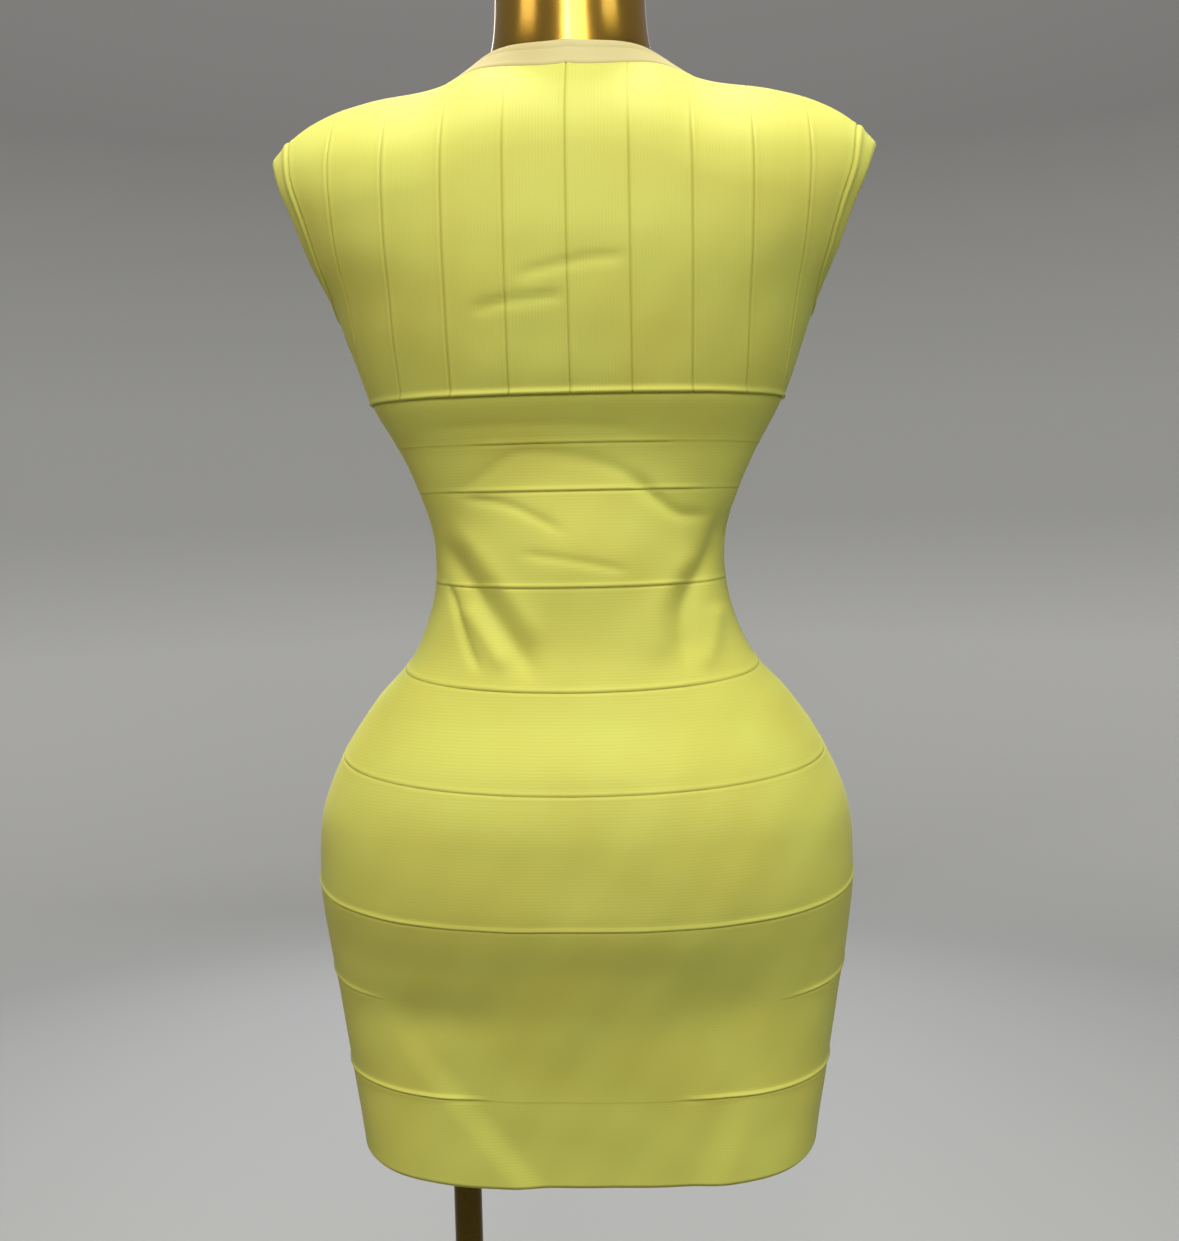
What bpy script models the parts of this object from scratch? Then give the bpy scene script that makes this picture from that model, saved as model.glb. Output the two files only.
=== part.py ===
"""A sleeveless knit dress of sewn strips and bands, on a limbless dress form with a pole and a base plate.

Frame: +Z up, origin at the centre of the base plate's underside. The dress's back faces -Y, and +X is on the
right of someone who looks at the back. Sizes are in metres.
"""

import math

import bmesh
import bpy
from mathutils import Vector

WALL = 0.0018       # thickness of the knit
SEAM = 0.0003       # gap between pieces that are sewn together
CLEAR = 0.0065      # from the cloth's outer face in to the form
FIT = 0.0003        # gap between the stand's pieces

# The body of the dress from the hem up: half width, depth to the back and to the front, and squareness, the
# exponent of the section's superellipse (2 is an ellipse). Beside the armholes the half width is that of the
# section as if it went on round the side.
SECTIONS = [
    {"z": 0.660, "half_width": 0.1722, "back": 0.1060, "front": 0.104, "square": 3.30},
    {"z": 0.700, "half_width": 0.1790, "back": 0.1075, "front": 0.106, "square": 2.95},
    {"z": 0.760, "half_width": 0.1890, "back": 0.1115, "front": 0.107, "square": 2.60},
    {"z": 0.820, "half_width": 0.1985, "back": 0.1215, "front": 0.105, "square": 2.40},
    {"z": 0.870, "half_width": 0.2032, "back": 0.1335, "front": 0.102, "square": 2.35},
    {"z": 0.915, "half_width": 0.2008, "back": 0.1360, "front": 0.099, "square": 2.30},
    {"z": 0.960, "half_width": 0.1845, "back": 0.1280, "front": 0.097, "square": 2.25},
    {"z": 1.000, "half_width": 0.1590, "back": 0.1065, "front": 0.094, "square": 2.20},
    {"z": 1.035, "half_width": 0.1288, "back": 0.0935, "front": 0.090, "square": 2.20},
    {"z": 1.065, "half_width": 0.1155, "back": 0.0885, "front": 0.086, "square": 2.20},
    {"z": 1.100, "half_width": 0.1090, "back": 0.0850, "front": 0.084, "square": 2.20},
    {"z": 1.135, "half_width": 0.1125, "back": 0.0820, "front": 0.088, "square": 2.20},
    {"z": 1.180, "half_width": 0.1300, "back": 0.0800, "front": 0.101, "square": 2.25},
    {"z": 1.225, "half_width": 0.1540, "back": 0.0955, "front": 0.116, "square": 2.35},
    {"z": 1.265, "half_width": 0.1685, "back": 0.1025, "front": 0.126, "square": 2.40},
    {"z": 1.295, "half_width": 0.1790, "back": 0.1060, "front": 0.126, "square": 2.40},
    {"z": 1.325, "half_width": 0.1980, "back": 0.1070, "front": 0.120, "square": 2.40},
    {"z": 1.355, "half_width": 0.2135, "back": 0.1050, "front": 0.111, "square": 2.40},
    {"z": 1.385, "half_width": 0.2295, "back": 0.1010, "front": 0.101, "square": 2.40},
    {"z": 1.410, "half_width": 0.2360, "back": 0.0960, "front": 0.094, "square": 2.40},
    {"z": 1.480, "half_width": 0.2380, "back": 0.0780, "front": 0.080, "square": 2.40},
]

# The top of the shoulders, from under the neck out past the tip.
SHOULDER = [
    {"x": 0.0000, "z": 1.4780},
    {"x": 0.0600, "z": 1.4690},
    {"x": 0.0930, "z": 1.4530},
    {"x": 0.1460, "z": 1.4440},
    {"x": 0.1770, "z": 1.4355},
    {"x": 0.2000, "z": 1.4240},
    {"x": 0.2215, "z": 1.4060},
    {"x": 0.2380, "z": 1.3850},
]
SHOULDER_ROLL = 0.090   # height over which the shoulder rounds over into the back and the front
PROBE = 0.0004          # step over which a face's direction is measured
MERGE = 0.000001

STRIPS = 5              # from the centre line to the side, on the back and on the front
STRIP_WIDTH = 0.0425    # the outermost strip takes what is left
STRIP_COLUMNS = 4
BODICE_EDGE = 1.2226

# The seams between the horizontal bands, from the bodice down to the hem: height at the centre line, rise
# at the side seams, and the power of the arc's share by which a seam bends up to them.
BAND_SEAMS = [
    {"z": BODICE_EDGE, "rise": 0.000, "bend": 2},
    {"z": 1.1895, "rise": 0.000, "bend": 2},
    {"z": 1.1570, "rise": 0.000, "bend": 2},
    {"z": 1.0894, "rise": 0.002, "bend": 2},
    {"z": 1.0175, "rise": 0.012, "bend": 2},
    {"z": 0.9515, "rise": 0.015, "bend": 2},
    {"z": 0.8580, "rise": 0.017, "bend": 4},
    {"z": 0.7930, "rise": 0.011, "bend": 4},
    {"z": 0.7260, "rise": 0.004, "bend": 4},
    {"z": 0.6600, "rise": 0.012, "bend": 3},
]
BAND_COLUMNS = 16
BAND_ROW = 0.027        # the tallest row of faces in a band

ARMHOLE = {"z": 1.3500, "half_height": 0.0540, "half_depth": 0.044, "binding": 0.014, "rows": 9}
NECKLINE = {"half_width": 0.093, "back": 0.0600, "front": 0.090}

# The neckband leans in towards the neck as it rises from its seam.
NECKBAND = {
    "rise": {"back": 0.0195, "side": 0.0110, "front": 0.0180},
    "lean": {"back": 0.0090, "side": 0.0180, "front": 0.0055},
    "rows": 2,
}

# The form's neck is round, and flares out into the shoulders, most of all to the sides. The two faces blend
# with a rounded corner above blend_z, and a higher power makes that corner sharper.
NECK = {"y": 0.013, "radius": 0.0535, "top": 1.545}
FLARE = {"reach": 0.0300, "z": 1.447, "height": 0.018, "back_share": 0.30, "blend_z": 1.403, "power": 60}
NECK_CAP = {"height": 0.008, "edge": 0.003}
ARM_PLATE = 0.176       # where the form ends in a flat disc at each armhole
FORM_BOTTOM = {"z": 0.715, "round": 0.030, "rows": 3}
FORM_SIDES = 32
FORM_REACH = 0.260      # further out than any point of the form
FORM_ROWS = [           # up to each height, the tallest row of faces
    {"top": 1.380, "row": 0.030},
    {"top": 1.420, "row": 0.010},
    {"top": 1.475, "row": 0.005},
    {"top": NECK["top"], "row": 0.014},
]

POLE = {"x": -0.100, "radius": 0.011}
SOCKET = {"radius": 0.017, "height": 0.030}
FOOT = {"radius": 0.024, "height": 0.028}
BASE = {"radius": 0.180, "height": 0.008, "edge": 0.002}
TURNED_SIDES = 32


def read(table, key, column, value):
    """One column of a table, read smoothly at a value of its key, with no overshoot between the rows."""
    value = min(max(value, table[0][key]), table[-1][key])
    i = max(k for k in range(len(table) - 1) if table[k][key] <= value)

    def rise(k):
        return (table[k + 1][column] - table[k][column]) / (table[k + 1][key] - table[k][key])

    def slope(k):
        if k in (0, len(table) - 1):
            return rise(min(k, len(table) - 2))
        before, after = rise(k - 1), rise(k)
        if before * after <= 0:
            return 0.0
        mean = (before + after) / 2
        return math.copysign(min(abs(mean), 3 * abs(before), 3 * abs(after)), mean)

    step = table[i + 1][key] - table[i][key]
    t = (value - table[i][key]) / step
    blend = t * t * (3 - 2 * t)
    level = table[i][column] * (1 - blend) + table[i + 1][column] * blend
    return level + step * t * (1 - t) * (slope(i) * (1 - t) - slope(i + 1) * t)


def solve(wanted, falling, low, high):
    """Where a falling function of one number comes down to the wanted value."""
    for _ in range(40):
        middle = (low + high) / 2
        if falling(middle) > wanted:
            low = middle
        else:
            high = middle
    return (low + high) / 2


def shoulder_roll(x, z, inset):
    """The squared share of its full depth that the body keeps under the shoulder, below 0 above the ridge."""
    below = (read(SHOULDER, "x", "z", abs(x)) - inset - z) / SHOULDER_ROLL
    return 1 - (1 - min(below, 1.0)) ** 2 if below > 0 else 2 * below


def side_of(y):
    return "back" if y < 0 else "front"


def level(point, inset=0.0):
    """Below 0 inside the dress's outer face, 0 on it and above 0 outside it. An inset draws the face in."""
    x, y, z = point
    square = read(SECTIONS, "z", "square", z)
    across = abs(x) / (read(SECTIONS, "z", "half_width", z) - inset)
    deep = abs(y) / (read(SECTIONS, "z", side_of(y), z) - inset)
    roll = shoulder_roll(x, z, inset)
    kept = math.copysign(abs(roll) ** (square / 2), roll)
    return kept * (across**square - 1) + deep**square


def depth(side, x, z):
    """How far the outer face stands from the side plane, at this width and height."""
    square = read(SECTIONS, "z", "square", z)
    share = min(abs(x) / read(SECTIONS, "z", "half_width", z), 1.0)
    roll = max(shoulder_roll(x, z, 0.0), 0.0)
    return read(SECTIONS, "z", side, z) * (1 - share**square) ** (1 / square) * math.sqrt(roll)


def normal(point):
    """The outward direction of the dress's outer face at a point on it."""
    rise = Vector()
    for i in range(3):
        move = Vector((0, 0, 0))
        move[i] = PROBE
        rise[i] = level(point + move) - level(point - move)
    return rise.normalized()


def place(side, x, z):
    y = depth(side, x, z)
    return Vector((x, -y if side == "back" else y, z))


def section_arc(side, z, steps=72):
    """Widths along the section at one height, from the centre line to the side, with the arc out to each."""
    half_width = read(SECTIONS, "z", "half_width", z)
    square = read(SECTIONS, "z", "square", z)
    row = []
    for k in range(steps + 1):
        turn = math.pi / 2 * k / steps
        x = half_width * math.sin(turn) ** (2 / square)
        y = read(SECTIONS, "z", side, z) * math.cos(turn) ** (2 / square)
        arc = row[-1]["arc"] + math.hypot(x - row[-1]["x"], y - row[-1]["y"]) if row else 0.0
        row.append({"x": x, "y": y, "arc": arc})
    return row


def between(row, key, column, value):
    """One column of a finely stepped row, in straight lines."""
    for first, last in zip(row, row[1:]):
        if value <= last[key]:
            t = (value - first[key]) / (last[key] - first[key])
            return first[column] + t * (last[column] - first[column])
    return row[-1][column]


def edge_points(side):
    """The bodice's outer edge: the foot of its side seam, then the binding's seam up to the ridge."""
    sign = -1 if side == "back" else 1
    points = [Vector((read(SECTIONS, "z", "half_width", BODICE_EDGE), 0, BODICE_EDGE))]
    for k in range(ARMHOLE["rows"] + 1):
        points.append(armhole_point(sign * k / ARMHOLE["rows"], ARMHOLE["binding"]))
    return points


def armhole_point(turn, out):
    """A point round the armhole, a distance out from it: 0 is the underarm, -1 and 1 the shoulder."""
    angle = math.pi * turn
    y = math.sin(angle) * (ARMHOLE["half_depth"] + out)
    z = ARMHOLE["z"] - math.cos(angle) * (ARMHOLE["half_height"] + out)
    x = solve(abs(y), lambda width: depth(side_of(y), width, z), 0.0, SHOULDER[-1]["x"])
    return Vector((x, y, z))


def neck_point(side, x):
    """A point of the neck seam: where the body passes through an upright oval."""
    y = NECKLINE[side] * math.sqrt(max(1 - (x / NECKLINE["half_width"]) ** 2, 0.0))
    z = solve(y, lambda height: depth(side, x, height) - MERGE, SHOULDER[-1]["z"], SHOULDER[0]["z"])
    return Vector((x, -y if side == "back" else y, z))


class Bodice:
    """The back or the front above the bands. Its lines count from 0 at the centre to STRIPS at the edge."""

    LEVEL_TOP = 1.385   # above this height the lines run straight up

    def __init__(self, side):
        self.side = side
        self.edge = edge_points(side)
        rise = self.edge[-1].z - BODICE_EDGE
        self.shares = [(point.z - BODICE_EDGE) / rise for point in self.edge]
        self.arcs = {}

    def section(self, z):
        z = round(min(z, self.LEVEL_TOP), 5)
        if z not in self.arcs:
            self.arcs[z] = section_arc(self.side, z)
        return self.arcs[z]

    def width(self, line, row, z):
        """The width of a line at a row, at this height."""
        last = STRIPS - 1
        arc = line * STRIP_WIDTH
        if line > last:
            point = self.edge[row]
            edge_arc = between(self.section(point.z), "x", "arc", point.x)
            arc = last * STRIP_WIDTH + (line - last) * (edge_arc - last * STRIP_WIDTH)
        return between(self.section(z), "arc", "x", arc)

    def top(self, line):
        x = self.width(line, len(self.edge) - 1, self.LEVEL_TOP)
        if x < NECKLINE["half_width"]:
            return neck_point(self.side, x)
        return Vector((x, 0, read(SHOULDER, "x", "z", x)))

    def point(self, line, row):
        if line == STRIPS:
            return self.edge[row]
        top = self.top(line)
        if row == len(self.edge) - 1:
            return top
        z = BODICE_EDGE + self.shares[row] * (top.z - BODICE_EDGE)
        return place(self.side, self.width(line, row, z), z)

    def lines(self, strip):
        """The lines across one strip, with one of them at the corner of the neck and the shoulder."""
        lines = [strip + k / STRIP_COLUMNS for k in range(STRIP_COLUMNS + 1)]
        corner_arc = between(self.section(self.LEVEL_TOP), "x", "arc", NECKLINE["half_width"])
        corner = corner_arc / STRIP_WIDTH
        if strip < corner < strip + 1:
            nearest = min(lines[1:-1], key=lambda line: abs(line - corner))
            lines[lines.index(nearest)] = corner
        return lines


def mirrored(point):
    return Vector((-point.x, point.y, point.z))


def inward_gap(points, wrap=False):
    """Moves the border of a net of points in by half a seam, so that neighbours stay a seam apart."""
    def toward(point, other):
        return point + (other - point).normalized() * (SEAM / 2)

    net = [list(row) for row in points]
    if not wrap:
        for row in net:
            row[0], row[-1] = toward(row[0], row[1]), toward(row[-1], row[-2])
    first = [toward(a, b) for a, b in zip(net[0], net[1])]
    last = [toward(a, b) for a, b in zip(net[-1], net[-2])]
    return [first, *net[1:-1], last]


def material(name, colour, roughness, metallic=0.0):
    made = bpy.data.materials.get(name) or bpy.data.materials.new(name)
    made.use_nodes = True
    shader = made.node_tree.nodes["Principled BSDF"]
    shader.inputs["Base Color"].default_value = (*colour, 1)
    shader.inputs["Roughness"].default_value = roughness
    shader.inputs["Metallic"].default_value = metallic
    return made


def finish(mesh, name, made, sharp=math.radians(40)):
    data = bpy.data.meshes.new(name)
    mesh.to_mesh(data)
    mesh.free()
    data.materials.append(made)
    data.shade_smooth()
    data.set_sharp_from_angle(angle=sharp)
    thing = bpy.data.objects.new(name, data)
    bpy.context.scene.collection.objects.link(thing)
    return thing


def wall(name, net, inward, made):
    """A wall from a net of points on its outer face. inward(row, column) is the way its thickness goes."""
    rows, columns = len(net) - 1, len(net[0]) - 1
    mesh = bmesh.new()
    way = mesh.verts.layers.float_vector.new("inward")
    bmesh.ops.create_grid(mesh, x_segments=columns, y_segments=rows, size=0.5)
    for corner in mesh.verts:
        column = round((corner.co.x + 0.5) * columns)
        row = round((corner.co.y + 0.5) * rows)
        corner.co = net[row][column]
        corner[way] = inward(row, column)
    bmesh.ops.remove_doubles(mesh, verts=mesh.verts, dist=MERGE)
    faces = bmesh.ops.extrude_face_region(mesh, geom=mesh.faces[:])
    for corner in faces["geom"]:
        if isinstance(corner, bmesh.types.BMVert):
            corner.co += corner[way] * WALL
    bmesh.ops.recalc_face_normals(mesh, faces=mesh.faces)
    return finish(mesh, name, made)


def cloth(name, points, made, wrap=False):
    """A wall on the body of the dress. A wrapped net closes into a ring."""
    net = inward_gap(points, wrap)
    wall(name, net, lambda row, column: -normal(net[row][column]), made)


def turned(name, profile, centre, made):
    """A round piece from its profile of (radius, height) points, turned about an upright axis."""
    mesh = bmesh.new()
    corners = [mesh.verts.new((centre.x + radius, centre.y, centre.z + height)) for radius, height in profile]
    edges = [mesh.edges.new(pair) for pair in zip(corners, corners[1:])]
    if profile[0][0] > 0:
        edges.append(mesh.edges.new((corners[-1], corners[0])))
    bmesh.ops.spin(mesh, geom=corners + edges, cent=centre, axis=(0, 0, 1), angle=math.tau,
                   steps=TURNED_SIDES, use_merge=True)
    bmesh.ops.remove_doubles(mesh, verts=mesh.verts, dist=MERGE)
    bmesh.ops.recalc_face_normals(mesh, faces=mesh.faces)
    return finish(mesh, name, made)


def make_bodice(side, made):
    bodice = Bodice(side)
    seam = []
    for strip in range(STRIPS):
        lines = bodice.lines(strip)
        net = [[bodice.point(line, row) for line in lines] for row in range(len(bodice.edge))]
        cloth(f"{side}_strip_right_{strip + 1}", net, made)
        cloth(f"{side}_strip_left_{strip + 1}", [[mirrored(point) for point in row] for row in net], made)
        seam += [point for point in net[-1] if point.x <= NECKLINE["half_width"] + MERGE]
    return [point for k, point in enumerate(seam) if k == 0 or (point - seam[k - 1]).length > MERGE]


def band_point(side, top, bottom, share, up):
    """A point of a band: share is its arc from the centre line, -1 to 1, and up is 0 at its lower seam."""
    low = bottom["z"] + bottom["rise"] * abs(share) ** bottom["bend"]
    high = top["z"] + top["rise"] * abs(share) ** top["bend"]
    z = low + (high - low) * up
    arcs = section_arc(side, z)
    x = between(arcs, "arc", "x", abs(share) * arcs[-1]["arc"])
    return place(side, math.copysign(x, share), z)


def make_bands(made):
    for number, (top, bottom) in enumerate(zip(BAND_SEAMS, BAND_SEAMS[1:]), 1):
        rows = max(2, math.ceil((top["z"] - bottom["z"]) / BAND_ROW))
        for side in ("back", "front"):
            net = []
            for k in range(rows + 1):
                shares = [2 * column / BAND_COLUMNS - 1 for column in range(BAND_COLUMNS + 1)]
                net.append([band_point(side, top, bottom, share, k / rows) for share in shares])
            cloth(f"{side}_band_{number}", net, made)


def make_armhole_bindings(made):
    rows = ARMHOLE["rows"]
    net = []
    for out in (ARMHOLE["binding"], ARMHOLE["binding"] / 2, 0.0):
        net.append([armhole_point(k / rows, out) for k in range(-rows, rows + 1)])
    cloth("armhole_binding_right", net, made, wrap=True)
    cloth("armhole_binding_left", [[mirrored(point) for point in row] for row in net], made, wrap=True)


def make_neckband(back_seam, front_seam, made):
    """A ring from the neck seam up towards the neck. Each seam runs from the centre line out to the side."""
    half = back_seam + front_seam[-2::-1]
    seam = half + [mirrored(point) for point in half[-2::-1]]

    def risen(point, share):
        side = side_of(point.y)
        aside = (point.x / NECKLINE["half_width"]) ** 2
        lean = {key: NECKBAND["lean"][key] * share for key in ("side", side)}
        rise = NECKBAND["rise"]["side"] * aside + NECKBAND["rise"][side] * (1 - aside)
        return Vector((
            point.x * (1 - lean["side"] / NECKLINE["half_width"]),
            point.y * (1 - lean[side] / NECKLINE[side]),
            point.z + rise * share,
        ))

    net = [[risen(point, k / NECKBAND["rows"]) for point in seam] for k in range(NECKBAND["rows"] + 1)]
    net = inward_gap(net, wrap=True)
    columns = len(seam) - 1

    def inward(row, column):
        along = net[row][(column + 1) % columns] - net[row][(column - 1) % columns]
        way = (net[-1][column] - net[0][column]).cross(along).normalized()
        outward = net[row][column].to_2d().to_3d()
        return -way if way.dot(outward) > 0 else way

    wall("neckband", net, inward, made)


def form_radius(angle, z, inset):
    """How far the form's face stands from its upright axis, in one direction."""
    way = Vector((math.sin(angle), -math.cos(angle), 0))
    reach = solve(0.0, lambda r: -level(way * r + Vector((0, 0, z)), inset), 0.0, FORM_REACH)
    flare = FLARE["reach"] * math.exp(-max(z - FLARE["z"], 0.0) / FLARE["height"])
    share = FLARE["back_share"] + (1 - FLARE["back_share"]) * way.x**4
    neck = NECK["radius"] + flare * share + way.y * NECK["y"]
    if z >= SHOULDER[0]["z"] - inset:
        return neck
    if z <= FLARE["blend_z"]:
        return reach
    return (reach ** FLARE["power"] + neck ** FLARE["power"]) ** (1 / FLARE["power"])


def form_heights():
    """The form's rows from its foot up, each with how far it stands in from the dress's outer face."""
    bottom, rounding, rows = (FORM_BOTTOM[key] for key in ("z", "round", "rows"))
    heights = []
    for k in range(rows + 1):
        turn = math.pi / 2 * k / rows
        heights.append((bottom + rounding * (1 - math.cos(turn)), CLEAR + rounding * (1 - math.sin(turn))))
    start = bottom + rounding
    for stretch in FORM_ROWS:
        count = math.ceil((stretch["top"] - start) / stretch["row"])
        step = (stretch["top"] - start) / count
        heights += [(start + step * k, CLEAR) for k in range(1, count + 1)]
        start = stretch["top"]
    return heights


def make_form(made):
    """The form fills the dress to just inside the cloth, with flat plates for arms and a rounded foot."""
    heights = form_heights()
    rows = len(heights) - 1
    mesh = bmesh.new()
    bmesh.ops.create_grid(mesh, x_segments=FORM_SIDES, y_segments=rows, size=0.5)
    for corner in mesh.verts:
        angle = math.tau * round((corner.co.x + 0.5) * FORM_SIDES) / FORM_SIDES
        z, inset = heights[round((corner.co.y + 0.5) * rows)]
        radius = form_radius(angle, z, inset)
        x = radius * math.sin(angle)
        corner.co = (max(min(x, ARM_PLATE), -ARM_PLATE), -radius * math.cos(angle), z)
    bmesh.ops.remove_doubles(mesh, verts=mesh.verts, dist=MERGE)
    bmesh.ops.holes_fill(mesh, edges=[edge for edge in mesh.edges if edge.is_boundary], sides=0)
    bmesh.ops.recalc_face_normals(mesh, faces=mesh.faces)
    finish(mesh, "form", made)


def make_stand(gold, steel):
    axis = Vector((POLE["x"], 0, 0))
    base_top = BASE["height"]
    under = FORM_BOTTOM["z"]
    bore = POLE["radius"] + FIT
    turned("base_plate", [
        (0, 0), (BASE["radius"], 0), (BASE["radius"], base_top - BASE["edge"]),
        (BASE["radius"] - BASE["edge"], base_top), (0, base_top),
    ], Vector(), steel)
    turned("pole", [
        (0, base_top + FIT), (POLE["radius"], base_top + FIT),
        (POLE["radius"], under - FIT), (0, under - FIT),
    ], axis, gold)
    turned("pole_foot", [
        (bore, base_top + FIT), (FOOT["radius"], base_top + FIT),
        (FOOT["radius"], base_top + FOOT["height"] / 3), (SOCKET["radius"], base_top + FOOT["height"]),
        (bore, base_top + FOOT["height"]),
    ], axis, gold)
    turned("pole_socket", [
        (bore, under - SOCKET["height"]), (SOCKET["radius"], under - SOCKET["height"]),
        (SOCKET["radius"], under - FIT), (bore, under - FIT),
    ], axis, gold)
    top = NECK["top"] + FIT
    turned("neck_cap", [
        (0, top), (NECK["radius"], top), (NECK["radius"], top + NECK_CAP["height"] - NECK_CAP["edge"]),
        (NECK["radius"] - NECK_CAP["edge"], top + NECK_CAP["height"]), (0, top + NECK_CAP["height"]),
    ], Vector((0, NECK["y"], 0)), gold)


def main():
    for thing in list(bpy.data.objects):
        bpy.data.objects.remove(thing, do_unlink=True)
    lime = material("lime_knit", (0.72, 0.74, 0.18), 0.75)
    cream = material("cream_knit", (0.80, 0.72, 0.42), 0.8)
    gold = material("gold_lacquer", (0.55, 0.33, 0.07), 0.2, 0.9)
    steel = material("gold_steel", (0.50, 0.31, 0.08), 0.3, 1.0)
    back_seam = make_bodice("back", lime)
    front_seam = make_bodice("front", lime)
    make_bands(lime)
    make_armhole_bindings(lime)
    make_neckband(back_seam, front_seam, cream)
    make_form(gold)
    make_stand(gold, steel)


main()
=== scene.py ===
# A sleeveless bandage-knit mini dress, stretched over a glossy gold dress form on a pole stand.
# +Z is up, the back of the dress faces -Y, and sizes are in metres.

import math

import bmesh
import bpy
import numpy as np
from mathutils import Matrix, Vector


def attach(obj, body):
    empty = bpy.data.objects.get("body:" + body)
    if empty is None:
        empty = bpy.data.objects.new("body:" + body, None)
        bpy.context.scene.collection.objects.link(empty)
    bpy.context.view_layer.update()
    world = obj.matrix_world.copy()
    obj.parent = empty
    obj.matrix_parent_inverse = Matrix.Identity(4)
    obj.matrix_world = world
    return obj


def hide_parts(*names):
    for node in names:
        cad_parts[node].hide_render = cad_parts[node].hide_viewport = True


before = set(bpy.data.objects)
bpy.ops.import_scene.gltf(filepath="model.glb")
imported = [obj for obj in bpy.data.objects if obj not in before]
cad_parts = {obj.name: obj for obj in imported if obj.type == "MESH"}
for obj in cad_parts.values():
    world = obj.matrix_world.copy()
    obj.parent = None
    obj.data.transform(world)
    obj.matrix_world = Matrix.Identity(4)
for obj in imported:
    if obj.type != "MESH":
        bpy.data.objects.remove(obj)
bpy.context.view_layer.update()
print("frame loaded:", len(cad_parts), "nodes")


# the body of the dress, by the same tables as the frame's source:
# height, half width, depth to the back and to the front, and the exponent of the section's superellipse
sections = [
    {"z": 0.660, "halfWidth": 0.1722, "back": 0.1060, "front": 0.104, "square": 3.30},
    {"z": 0.700, "halfWidth": 0.1790, "back": 0.1075, "front": 0.106, "square": 2.95},
    {"z": 0.760, "halfWidth": 0.1890, "back": 0.1115, "front": 0.107, "square": 2.60},
    {"z": 0.820, "halfWidth": 0.1985, "back": 0.1215, "front": 0.105, "square": 2.40},
    {"z": 0.870, "halfWidth": 0.2032, "back": 0.1335, "front": 0.102, "square": 2.35},
    {"z": 0.915, "halfWidth": 0.2008, "back": 0.1360, "front": 0.099, "square": 2.30},
    {"z": 0.960, "halfWidth": 0.1845, "back": 0.1280, "front": 0.097, "square": 2.25},
    {"z": 1.000, "halfWidth": 0.1590, "back": 0.1065, "front": 0.094, "square": 2.20},
    {"z": 1.035, "halfWidth": 0.1288, "back": 0.0935, "front": 0.090, "square": 2.20},
    {"z": 1.065, "halfWidth": 0.1155, "back": 0.0885, "front": 0.086, "square": 2.20},
    {"z": 1.100, "halfWidth": 0.1090, "back": 0.0850, "front": 0.084, "square": 2.20},
    {"z": 1.135, "halfWidth": 0.1125, "back": 0.0820, "front": 0.088, "square": 2.20},
    {"z": 1.180, "halfWidth": 0.1300, "back": 0.0800, "front": 0.101, "square": 2.25},
    {"z": 1.225, "halfWidth": 0.1540, "back": 0.0955, "front": 0.116, "square": 2.35},
    {"z": 1.265, "halfWidth": 0.1685, "back": 0.1025, "front": 0.126, "square": 2.40},
    {"z": 1.295, "halfWidth": 0.1790, "back": 0.1060, "front": 0.126, "square": 2.40},
    {"z": 1.325, "halfWidth": 0.1980, "back": 0.1070, "front": 0.120, "square": 2.40},
    {"z": 1.355, "halfWidth": 0.2135, "back": 0.1050, "front": 0.111, "square": 2.40},
    {"z": 1.385, "halfWidth": 0.2295, "back": 0.1010, "front": 0.101, "square": 2.40},
    {"z": 1.410, "halfWidth": 0.2360, "back": 0.0960, "front": 0.094, "square": 2.40},
    {"z": 1.480, "halfWidth": 0.2380, "back": 0.0780, "front": 0.080, "square": 2.40},
]

# the ridge of the shoulder, from under the neck out past its tip
shoulder = [
    {"x": 0.0000, "z": 1.4780},
    {"x": 0.0600, "z": 1.4690},
    {"x": 0.0930, "z": 1.4530},
    {"x": 0.1460, "z": 1.4440},
    {"x": 0.1770, "z": 1.4355},
    {"x": 0.2000, "z": 1.4240},
    {"x": 0.2215, "z": 1.4060},
    {"x": 0.2380, "z": 1.3850},
]
shoulderRollHeight = 0.090
arcSteps = 72           # straight steps along a quarter of a section
probe = 0.0004          # step over which a face's direction is measured
halvings = 40           # of the range in which a wanted value is looked for
tiny = 0.000001

knit = {
    "wall": 0.0018,     # thickness of the cloth
    "seam": 0.00006,    # gap between two sewn pieces
    "spacing": 0.0030,  # of the net, away from the seams
    "beside": [0.0, 0.0003, 0.0007, 0.0012, 0.0018, 0.0026, 0.0036, 0.0050],  # of the net, in from a seam
    "besideUpTo": 0.45, # share of a piece's width that the lines beside one seam may take
    "stretch": 1.12,    # how far the knit is stretched round the body
}


def readTable(table, key, column, values):   # a smooth line through the rows, with no overshoot
    keys = np.array([row[key] for row in table])
    levels = np.array([row[column] for row in table])
    rises = np.diff(levels) / np.diff(keys)
    before, after = rises[:-1], rises[1:]
    mean = (before + after) / 2
    steepest = np.minimum(np.abs(mean), np.minimum(3 * np.abs(before), 3 * np.abs(after)))
    inner = np.where(before * after <= 0, 0.0, np.sign(mean) * steepest)
    slopes = np.concatenate([rises[:1], inner, rises[-1:]])
    values = np.clip(values, keys[0], keys[-1])
    i = np.clip(np.searchsorted(keys, values, side="right") - 1, 0, len(keys) - 2)
    step = keys[i + 1] - keys[i]
    t = (values - keys[i]) / step
    blend = t * t * (3 - 2 * t)
    level = levels[i] * (1 - blend) + levels[i + 1] * blend
    return level + step * t * (1 - t) * (slopes[i] * (1 - t) - slopes[i + 1] * t)


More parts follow.
